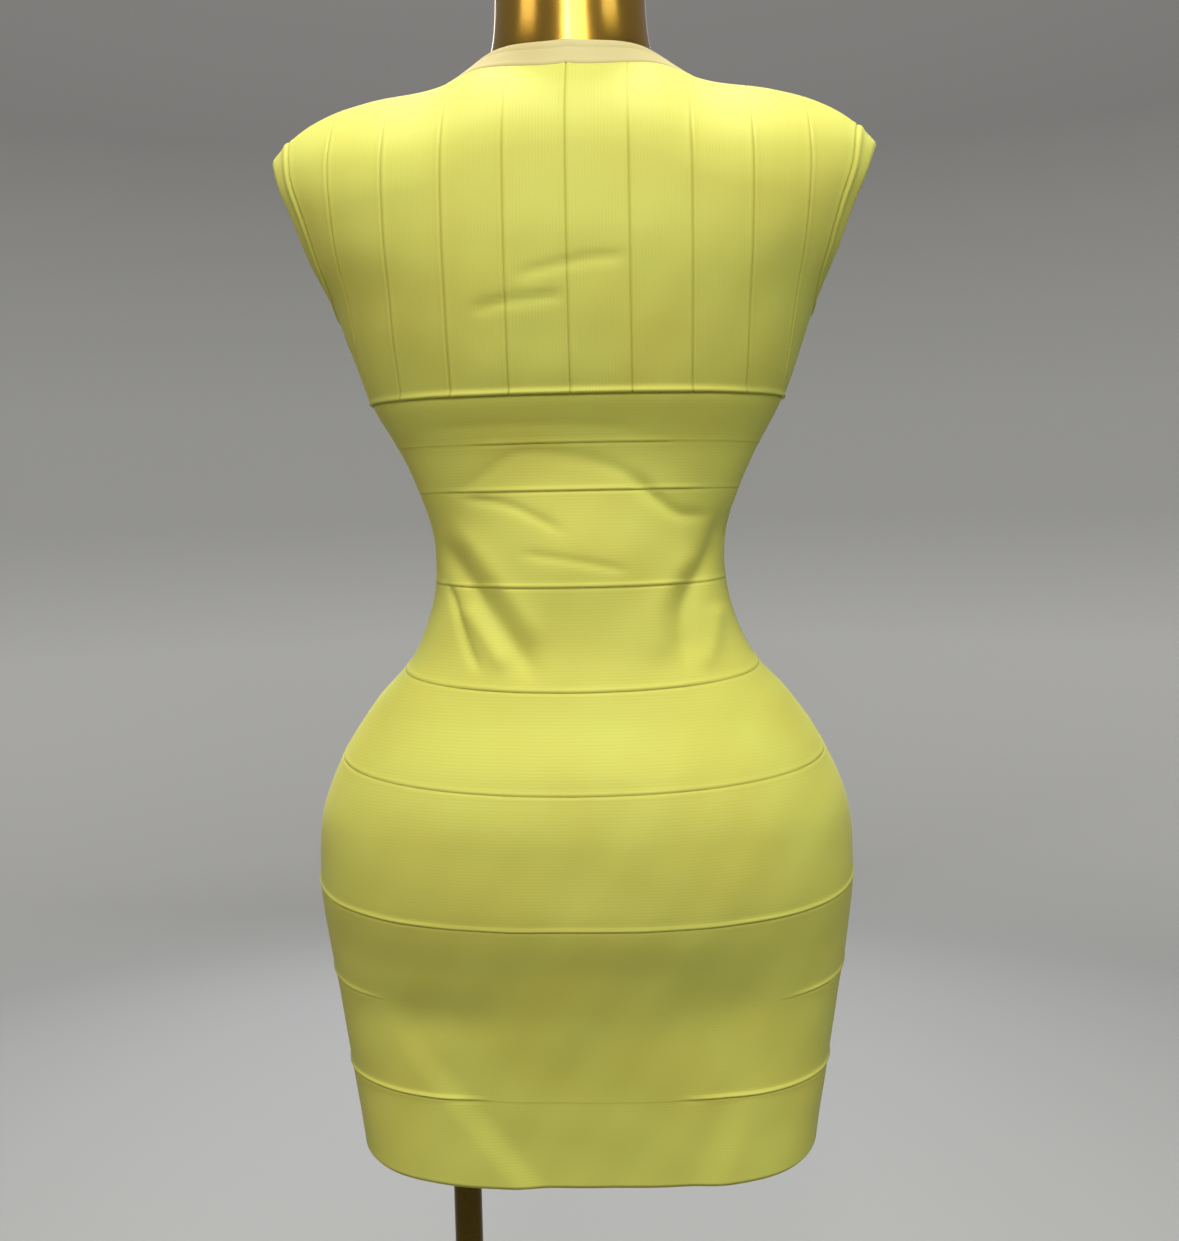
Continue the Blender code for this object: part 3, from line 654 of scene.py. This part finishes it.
def stripNet(side, strip):   # lines run up the strip, and rows across it
    last = bodice["strips"] - 1
    width = bodice["stripWidth"]
    lines = strip + netStops(width, bodice["lineSpacing"])
    corner = float(arcAtWidth(side, np.array(bodice["levelTop"]), np.array(neckline["halfWidth"]))) / width
    if strip < corner < strip + 1:
        extra = [corner + sign * gap / width for gap in [0.0, *bodice["besideCorner"]] for sign in (-1, 1)]
        clear = bodice["cornerClear"] / width
        kept = [line for line in lines if min(abs(line - other) for other in extra) > clear]
        lines = np.array(sorted(set(kept) | {line for line in extra}))
    climb = np.linspace(0, 1, bodice["rows"] + 1)
    shares = 1 - (1 - climb) ** bodice["rowPower"]
    bottom = bandSeams[0]["z"]
    tall = armhole["z"] + armhole["halfHeight"] + armhole["binding"] - bottom
    near = np.array(knit["beside"]) / tall
    shares = np.concatenate([near, shares[shares > near[-1] + bodice["rowClear"] / tall]])
    edge = bodiceEdge(side, bottom + shares * tall)
    edgeArc = arcAtWidth(side, edge[:, 2], edge[:, 0])
    arc = lines[None, :] * width + 0 * shares[:, None]
    if strip == last:
        arc = last * width + (lines[None, :] - last) * (edgeArc[:, None] - last * width)

    topLine = np.full(lines.shape, bodice["levelTop"])
    topX = widthAtArc(side, topLine, arc[-1])
    ridge = np.stack([topX, 0 * topX, readTable(shoulder, "x", "z", topX)], axis=-1)
    top = np.where((topX < neckline["halfWidth"] - tiny)[:, None], neckPoints(side, topX), ridge)
    z = bottom + shares[:, None] * (top[None, :, 2] - bottom)
    net = onFace(side, widthAtArc(side, z, arc), z)
    net[-1] = top
    if strip == last:
        net[:, -1] = edge
    return net, arc, lines


def makeStrip(side, strip):
    net, arc, lines = stripNet(side, strip)
    outward = faceNormals(net)
    steps = np.linalg.norm(np.diff(net, axis=0), axis=-1)
    up = np.concatenate([np.zeros((1, net.shape[1])), np.cumsum(steps, axis=0)])
    down = up[-1:] - up
    across = arc - arc[:, :1]
    beside = arc[:, -1:] - arc
    share = net[..., 0] / readTable(sections, "z", "halfWidth", net[..., 2])
    fading = 1 - bodice["fade"] * smoothStep((net[..., 2] - bodice["fadeFrom"]) / bodice["fadeOver"])
    inner = 1.0 if strip == 0 else fading
    outer = 1.0 if strip == bodice["strips"] - 1 else fading
    detail = inner * seamHeight(across) + outer * seamHeight(beside) + seamHeight(down)
    detail = detail + seamShows(share, bandSeams[0]) * lipHeight(up, bandSeams[0])
    detail = detail + bodice["edgeSeam"] * seamHeight(up)
    # painted shade along the strip's seams, less of it along the lower edge
    shade = np.maximum(inner * paintedSeamShade(across), outer * paintedSeamShade(beside))
    shade = np.maximum(shade, np.maximum(bodice["edgePaintedShade"] * paintedSeamShade(up), paintedSeamShade(down)))
    net = inwardGap(net)
    grain = np.stack([up, arc], axis=-1)
    for hand, sign in (("right", 1), ("left", -1)):
        turned = np.array([sign, 1, 1])
        height = detail + drapeHeight(side, sign * net[..., 0], net[..., 2])
        name = f"{side}_strip_{hand}_{strip + 1}"
        piece = shell(f"knit_{name}", net * turned, outward * turned, height, shade, grain, limeKnit)
        declareCloth(piece, name)


# how much of a plain seam shows at the side seams and between bands, and of its painted shade along a lip's
# edge
band = {"rowSpacing": 0.0026, "sideSeam": 0.7, "levelSeam": 0.5, "lipPaintedShade": 0.4}
hem = {"turn": 0.0012, "turnWidth": 0.0016}


def makeBand(side, number):
    top, bottom = bandSeams[number - 1], bandSeams[number]
    tall = top["z"] - bottom["z"]
    halfArc = float(sectionArcs(side, np.array((top["z"] + bottom["z"]) / 2))[1][-1])
    shares = 2 * netStops(2 * halfArc) - 1
    climb = netStops(tall, band["rowSpacing"])
    low = bottom["z"] + bottom["rise"] * np.abs(shares) ** bottom["bend"]
    high = top["z"] + top["rise"] * np.abs(shares) ** top["bend"]
    z = low[None, :] + (high - low)[None, :] * climb[:, None]
    x, arcs = sectionArcs(side, z)
    arc = np.abs(shares)[None, :] * arcs[..., -1]
    net = onFace(side, np.sign(shares)[None, :] * between(arcs, x, arc), z)
    net[:, 0, 1] = net[:, -1, 1] = 0.0
    outward = faceNormals(net)
    up = climb[:, None] * (high - low)[None, :]
    down = (1 - climb)[:, None] * (high - low)[None, :]
    beside = arcs[..., -1] - arc
    share = shares[None, :] + 0 * up
    height = drapeHeight(side, net[..., 0], net[..., 2]) + band["sideSeam"] * seamHeight(beside)
    showsBelow, showsAbove = seamShows(share, bottom), seamShows(share, top)
    height = height + showsBelow * (lipHeight(up, bottom) + band["levelSeam"] * seamHeight(up))
    height = height + showsAbove * (tuckHeight(down, top) + band["levelSeam"] * seamHeight(down))
    # painted shade along the seams, with less of it on the lip at the band's lower edge
    shade = np.maximum(band["lipPaintedShade"] * showsBelow * paintedSeamShade(up), showsAbove * paintedSeamShade(down))
    shade = np.maximum(paintedSeamShade(beside), shade)
    if number == len(bandSeams) - 1:
        height = height - hem["turn"] * np.exp(-(up / hem["turnWidth"]) ** 2)
        shade = np.maximum(paintedSeamShade(beside), paintedSeamShade(down))
    net = inwardGap(net)
    grain = np.stack([arc * np.sign(shares)[None, :], z], axis=-1)
    name = f"{side}_band_{number}"
    piece = shell(f"knit_{name}", net, outward, height, shade, grain, limeKnit)
    declareCloth(piece, name)


def makeBinding(hand):
    # a folded strip sewn round the armhole, whose seam stands up like a fine piping
    sign = 1 if hand == "right" else -1
    turns = np.linspace(-1, 1, armhole["columns"] + 1)
    outs = armhole["binding"] * (1 - netStops(armhole["binding"], armhole["lineSpacing"]))
    net = np.stack([armholePoints(turns, out) for out in outs])
    outward = faceNormals(net)
    fromSeam = armhole["binding"] - outs[:, None] + 0 * turns[None, :]
    fromEdge = outs[:, None] + 0 * turns[None, :]
    piping = armhole["piping"] * np.exp(-((fromSeam - armhole["pipingWidth"]) / armhole["pipingWidth"]) ** 2)
    roll = armhole["roll"] * np.exp(-(fromEdge / armhole["rollWidth"]) ** 2)
    height = piping - roll + armhole["seam"] * seamHeight(fromSeam)
    # painted shade along the binding's seam
    shade = paintedSeamShade(fromSeam)
    length = np.linalg.norm(np.diff(net[0], axis=0), axis=-1).sum()
    along = turns * length / 2
    grain = np.stack([along[None, :] + 0 * fromSeam, fromSeam], axis=-1)
    net = inwardGap(net, wrap=True)
    turned = np.array([sign, 1, 1])
    name = f"armhole_binding_{hand}"
    piece = shell(f"knit_{name}", net * turned, outward * turned, height, shade, grain, limeKnit, wrap=True)
    declareCloth(piece, name)


neckband = {
    "rise": {"back": 0.0195, "side": 0.0110, "front": 0.0180},
    "lean": {"back": 0.0090, "side": 0.0180, "front": 0.0055},
    "columns": 200, "height": 0.016, "lineSpacing": 0.0011,     # a mean height, to share out its lines
    "seam": 0.6,            # how much of a plain seam shows
    "edge": 0.0009, "edgeWidth": 0.0012,    # how the folded top rolls in
    "foldAt": 0.70,         # share of its height where the facing's edge shows through
    # the fold dips in, and a painted shade lies in it
    "fold": 0.00035, "foldWidth": 0.0011, "foldPaintedShade": 0.25,
}


def makeNeckband():
    angles = np.linspace(-math.pi, math.pi, neckband["columns"] + 1)   # 0 is the middle of the back
    x = neckline["halfWidth"] * np.sin(angles)
    seams = {side: neckPoints(side, np.abs(x)) for side in ("back", "front")}
    isBack = np.cos(angles) > 0
    seam = np.where(isBack[:, None], seams["back"], seams["front"])
    seam[:, 0] = x
    across = np.array([neckline["back"] if back else neckline["front"] for back in isBack])
    seam[:, 1] = -np.cos(angles) * across
    aside = (x / neckline["halfWidth"]) ** 2
    lean = np.where(isBack, neckband["lean"]["back"], neckband["lean"]["front"]) / across
    rise = neckband["rise"]["side"] * aside
    rise = rise + np.where(isBack, neckband["rise"]["back"], neckband["rise"]["front"]) * (1 - aside)
    climb = netStops(neckband["height"], neckband["lineSpacing"])
    net = np.stack([np.stack([
        seam[:, 0] * (1 - neckband["lean"]["side"] / neckline["halfWidth"] * share),
        seam[:, 1] * (1 - lean * share),
        seam[:, 2] + rise * share], axis=-1) for share in climb])
    around = np.roll(net[:, :-1], -1, axis=1) - np.roll(net[:, :-1], 1, axis=1)
    upward = (net[-1] - net[0])[None, :-1] + 0 * around
    outward = np.cross(around, upward)
    outward = outward / np.linalg.norm(outward, axis=-1, keepdims=True)
    outward = np.where((outward * net[:, :-1] * [1, 1, 0]).sum(axis=-1, keepdims=True) < 0, -outward, outward)
    outward = np.concatenate([outward, outward[:, :1]], axis=1)
    tall = np.linalg.norm(net[-1] - net[0], axis=-1)
    up = climb[:, None] * tall[None, :]
    down = (1 - climb)[:, None] * tall[None, :]
    fold = np.exp(-((climb[:, None] - neckband["foldAt"]) * tall[None, :] / neckband["foldWidth"]) ** 2)
    edge = neckband["edge"] * np.exp(-(down / neckband["edgeWidth"]) ** 2)
    height = neckband["seam"] * seamHeight(up) - edge - neckband["fold"] * fold
    # painted shade along the seam and in the fold
    shade = np.maximum(paintedSeamShade(up), neckband["foldPaintedShade"] * fold)
    length = np.linalg.norm(np.diff(net[0], axis=0), axis=-1).sum()
    grain = np.stack([(angles / math.tau * length)[None, :] + 0 * up, up], axis=-1)
    net = inwardGap(net, wrap=True)
    piece = shell("knit_neckband", net, outward, height, shade, grain, creamKnit, wrap=True)
    declareCloth(piece, "neckband")


for side in ("back", "front"):
    for strip in range(bodice["strips"]):
        makeStrip(side, strip)
    for number in range(1, len(bandSeams)):
        makeBand(side, number)
for hand in ("right", "left"):
    makeBinding(hand)
makeNeckband()
print("cloth made")


smoothAngle = math.radians(35)  # faces that meet at more than this keep a sharp edge

form = {
    "clear": 0.0065,        # from the cloth's outer face in to the form
    "bottom": 0.715, "round": 0.030, "armPlate": 0.176, "reach": 0.260,
    "sides": 160, "footLevels": 9, "neckLevels": 20,
    "levels": [(1.400, 110), (1.490, 61)],  # up to each height, and how many; closest at the shoulder
}
neck = {"y": 0.013, "radius": 0.0535, "top": 1.545, "disc": 0.008, "discEdge": 0.003}
flare = {"reach": 0.0300, "z": 1.447, "height": 0.018, "backShare": 0.30, "blendZ": 1.403, "power": 60}


def formRadius(angle, z, inset):
    ways = np.stack([np.sin(angle), -np.cos(angle), 0 * angle], axis=-1)
    upright = np.stack([0 * z, 0 * z, z], axis=-1)
    reach = solveFalling(
        0 * z, lambda r: -faceLevel(ways * r[..., None] + upright, inset), 0.0, form["reach"])
    out = flare["reach"] * np.exp(-np.maximum(z - flare["z"], 0.0) / flare["height"])
    share = flare["backShare"] + (1 - flare["backShare"]) * ways[..., 0] ** 4
    column = neck["radius"] + out * share + ways[..., 1] * neck["y"]
    blended = (reach ** flare["power"] + column ** flare["power"]) ** (1 / flare["power"])
    radius = np.where(z > flare["blendZ"], blended, reach)
    return np.where(z >= shoulder[0]["z"] - inset, column, radius)


def makeForm():
    turn = np.linspace(0, math.pi / 2, form["footLevels"])
    foot = form["bottom"] + form["round"] * (1 - np.cos(turn))
    footInset = form["clear"] + form["round"] * (1 - np.sin(turn))
    low, upper = foot[-1], []
    for high, count in form["levels"] + [(neck["top"], form["neckLevels"])]:
        upper.append(np.linspace(low, high, count)[1:])
        low = high
    upper = np.concatenate(upper)
    z = np.concatenate([foot, upper])
    inset = np.concatenate([footInset, np.full(upper.shape, form["clear"])])[:, None]
    angles = np.linspace(-math.pi, math.pi, form["sides"] + 1)
    gridZ = z[:, None] + 0 * angles[None, :]
    gridAngle = angles[None, :] + 0 * gridZ
    radius = formRadius(gridAngle, gridZ, inset)
    x = np.clip(radius * np.sin(gridAngle), -form["armPlate"], form["armPlate"])
    net = np.stack([x, -radius * np.cos(gridAngle), gridZ], axis=-1)
    net[:, -1] = net[:, 0]
    rows, columns = net.shape[0] - 1, net.shape[1] - 1
    mesh = bmesh.new()
    bmesh.ops.create_grid(mesh, x_segments=columns, y_segments=rows, size=0.5)
    for corner in mesh.verts:
        corner.co = net[round((corner.co.y + 0.5) * rows), round((corner.co.x + 0.5) * columns)]
    bmesh.ops.remove_doubles(mesh, verts=mesh.verts, dist=tiny)
    bmesh.ops.holes_fill(mesh, edges=[edge for edge in mesh.edges if edge.is_boundary], sides=0)
    bmesh.ops.recalc_face_normals(mesh, faces=mesh.faces)
    piece = finishMesh(mesh, "moulded_form", goldLacquer, smoothAngle)
    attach(piece, "root")
    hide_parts("form")


stand = {"poleX": -0.100, "poleRadius": 0.011, "fit": 0.0003, "socketRadius": 0.017, "socketHeight": 0.030,
         "footRadius": 0.024, "footHeight": 0.028, "baseRadius": 0.180, "baseHeight": 0.008,
         "baseEdge": 0.002, "sides": 128, "ease": 0.0008, "baseEase": 0.0005, "hardEdge": 25}


def makeTurned(name, node, profile, centre, made, bevel=stand["ease"]):
    # a profile of (radius, height) points, turned about an upright axis, with its edges eased
    mesh = bmesh.new()
    corners = [mesh.verts.new((centre.x + radius, centre.y, height)) for radius, height in profile]
    edges = [mesh.edges.new(pair) for pair in zip(corners, corners[1:])]
    if profile[0][0] > 0:
        edges.append(mesh.edges.new((corners[-1], corners[0])))
    bmesh.ops.spin(mesh, geom=corners + edges, cent=centre, axis=(0, 0, 1), angle=math.tau,
                   steps=stand["sides"], use_merge=True)
    bmesh.ops.remove_doubles(mesh, verts=mesh.verts, dist=tiny)
    bmesh.ops.recalc_face_normals(mesh, faces=mesh.faces)
    corner = math.radians(stand["hardEdge"])
    hard = [edge for edge in mesh.edges if edge.is_manifold and edge.calc_face_angle() > corner]
    bmesh.ops.bevel(mesh, geom=hard, offset=bevel, segments=3, profile=0.5, affect="EDGES", material=-1,
                    clamp_overlap=True)
    piece = finishMesh(mesh, name, made, smoothAngle)
    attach(piece, "root")
    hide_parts(node)


def makeStand():
    axis = Vector((stand["poleX"], 0, 0))
    fit, top, under = stand["fit"], stand["baseHeight"], form["bottom"]
    bore = stand["poleRadius"] + fit
    makeTurned("stand_base", "base_plate", [
        (0, 0), (stand["baseRadius"], 0), (stand["baseRadius"], top - stand["baseEdge"]),
        (stand["baseRadius"] - stand["baseEdge"], top), (0, top)],
        Vector(), standMetal, stand["baseEase"])
    makeTurned("stand_pole", "pole", [
        (0, top + fit), (stand["poleRadius"], top + fit),
        (stand["poleRadius"], under - fit), (0, under - fit)], axis, standMetal)
    makeTurned("stand_foot", "pole_foot", [
        (bore, top + fit), (stand["footRadius"], top + fit),
        (stand["footRadius"], top + stand["footHeight"] / 3),
        (stand["socketRadius"], top + stand["footHeight"]), (bore, top + stand["footHeight"])],
        axis, standMetal)
    makeTurned("stand_socket", "pole_socket", [
        (bore, under - stand["socketHeight"]), (stand["socketRadius"], under - stand["socketHeight"]),
        (stand["socketRadius"], under - fit), (bore, under - fit)], axis, standMetal)
    capLow = neck["top"] + fit
    capHigh = capLow + neck["disc"]
    makeTurned("neck_disc", "neck_cap", [
        (0, capLow), (neck["radius"], capLow), (neck["radius"], capHigh - neck["discEdge"]),
        (neck["radius"] - neck["discEdge"], capHigh), (0, capHigh)],
        Vector((0, neck["y"], 0)), goldLacquer)


makeForm()
makeStand()
print("form and stand made")


# painted shade: the colour is deeper on the floor and towards the top of the wall, so that these look less
# lit
studio = {"floor": 2.5, "cove": 1.1, "wall": 4.2, "steps": 16, "sides": 96,
          "shadedPaint": [(0.0, toLinear("#acadb1")), (0.03, toLinear("#b6b7bb")), (0.16, toLinear("#cacbd0")),
                    (0.34, toLinear("#b9babe")), (0.55, toLinear("#8e8e92"))]}


def makeStudio():
    # a pale floor that sweeps up into a wall all round
    mesh = bmesh.new()
    profile = [(0.0, 0.0), (studio["floor"], 0.0)]
    for k in range(1, studio["steps"] + 1):
        turn = math.pi / 2 * k / studio["steps"]
        profile.append((studio["floor"] + studio["cove"] * math.sin(turn),
                        studio["cove"] * (1 - math.cos(turn))))
    profile.append((studio["floor"] + studio["cove"], studio["wall"]))
    corners = [mesh.verts.new((radius, 0, height)) for radius, height in profile]
    edges = [mesh.edges.new(pair) for pair in zip(corners, corners[1:])]
    bmesh.ops.spin(mesh, geom=corners + edges, cent=(0, 0, 0), axis=(0, 0, 1), angle=math.tau,
                   steps=studio["sides"], use_merge=True)
    bmesh.ops.remove_doubles(mesh, verts=mesh.verts, dist=tiny)
    made, tree, surface = newMaterial("mattPaintedCove", Roughness=0.9, Specular_IOR_Level=0.1)
    place = addNode(tree, "ShaderNodeTexCoord")
    parts = addNode(tree, "ShaderNodeSeparateXYZ", Vector=place.outputs["Object"])
    level = addNode(tree, "ShaderNodeMath", {"operation": "DIVIDE"})
    tree.links.new(parts.outputs["Z"], level.inputs[0])
    level.inputs[1].default_value = studio["wall"]
    # painted shade: deeper colour on the floor and towards the top of the wall
    ramp = fillRamp(addNode(tree, "ShaderNodeValToRGB", Fac=level.outputs[0]), studio["shadedPaint"])
    tree.links.new(ramp.outputs["Color"], surface.inputs["Base Color"])
    cove = finishMesh(mesh, "studio_cove", made)
    cove.visible_diffuse = False    # the lamps alone set how deep the shade under the seat and the yoke is


# each lamp: its place, what it points at, width and height, watts and colour
lamps = {
    "ceiling": ((0.15, -1.35, 5.2), (0.0, 0.0, 1.1), (1.0, 0.7), 100, "#fffef4"),
    "frontCeiling": ((-0.2, 1.45, 5.2), (0.0, 0.0, 1.1), (1.0, 0.7), 135, "#fffcf2"),
    "upperBack": ((0.30, -2.2, 2.55), (0.0, 0.0, 1.2), (1.3, 0.9), 16, "#fffef0"),
    "upperFront": ((-0.30, 2.2, 2.55), (0.0, 0.0, 1.3), (1.3, 0.9), 8, "#fffcf2"),
    "cameraFill": ((0.4, -2.4, 1.5), (0.0, 0.0, 1.1), (1.6, 1.6), 1.5, "#f4f7ff"),
    "frontFill": ((-0.4, 2.4, 1.5), (0.0, 0.0, 1.1), (1.6, 1.6), 16, "#f6f8ff"),
    "leftSide": ((-2.2, -1.3, 1.7), (0.0, 0.0, 1.1), (1.0, 1.8), 13, "#fff6dc"),
    "rightSide": ((2.2, -1.3, 1.7), (0.0, 0.0, 1.1), (1.0, 1.8), 12, "#fcffe6"),
    "neckGlint": ((-0.10, -2.5, 2.5), (0.0, 0.0, 1.45), (0.20, 1.5), 11, "#fff4ea"),
}
air = {"colour": "#dfe4ea", "strength": 0.04}


def addAreaLight(name, place, target, size, power, colour):
    data = bpy.data.lights.new(name, "AREA")
    data.shape = "RECTANGLE"
    data.size, data.size_y = size
    data.energy = power
    data.color = toLinear(colour)[:3]
    lamp = bpy.data.objects.new(name, data)
    lamp.location = place
    lamp.rotation_mode = "QUATERNION"
    lamp.rotation_quaternion = (Vector(target) - Vector(place)).to_track_quat("-Z", "Y")
    bpy.context.scene.collection.objects.link(lamp)


def makeLights():
    for name, lamp in lamps.items():
        addAreaLight(name, *lamp)
    world = bpy.data.worlds.new("studioAir")
    bpy.context.scene.world = world
    world.use_nodes = True
    background = world.node_tree.nodes["Background"]
    background.inputs["Color"].default_value = toLinear(air["colour"])
    background.inputs["Strength"].default_value = air["strength"]


view = {
    "x": 0.006, "distance": 1.008, "z": 1.152,     # before it is turned about the upright axis
    "down": 5.3, "turn": 2.5, "roll": -1.13,       # degrees
    "lens": 38.46575, "sensor": 36.0,              # millimetres
}


def makeCamera():
    data = bpy.data.cameras.new("viewCamera")
    data.sensor_width = view["sensor"]
    data.lens = view["lens"]
    camera = bpy.data.objects.new("viewCamera", data)
    turn = Matrix.Rotation(math.radians(view["turn"]), 4, "Z")
    pitch = Matrix.Rotation(math.radians(90 - view["down"]), 4, "X")
    roll = Matrix.Rotation(math.radians(view["roll"]), 4, "Z")
    camera.matrix_world = turn @ Matrix.Translation((view["x"], -view["distance"], view["z"])) @ pitch @ roll
    bpy.context.scene.collection.objects.link(camera)
    bpy.context.scene.camera = camera


makeStudio()
makeLights()
makeCamera()
bpy.context.scene.view_settings.view_transform = "Standard"
print("studio made")
